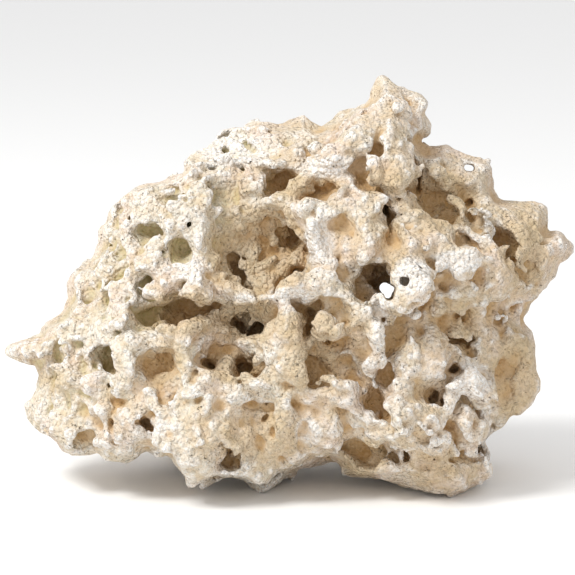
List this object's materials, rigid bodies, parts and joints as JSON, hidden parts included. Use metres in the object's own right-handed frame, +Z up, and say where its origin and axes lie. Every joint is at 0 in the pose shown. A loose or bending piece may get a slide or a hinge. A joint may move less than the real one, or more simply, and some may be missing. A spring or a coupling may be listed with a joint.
{
  "type": "reef base rock",
  "caption": "Free-standing block of weathered, porous coral limestone with ledges, pits and a hole right through, used as base rock in a reef aquarium.",
  "frame": {"origin": "bottom centre of the rock's bounding box, on the plane that its feet rest on", "axes": "+Z up, +X to the right along the rock's length as seen from the front, +Y away from the front"},
  "size_m": [0.2833, 0.1647, 0.1993],
  "materials": {
    "stone": "chalky, granular, matt"
  },
  "bodies": {
    "root": {"rock": "stone"}
  },
  "joints": []
}
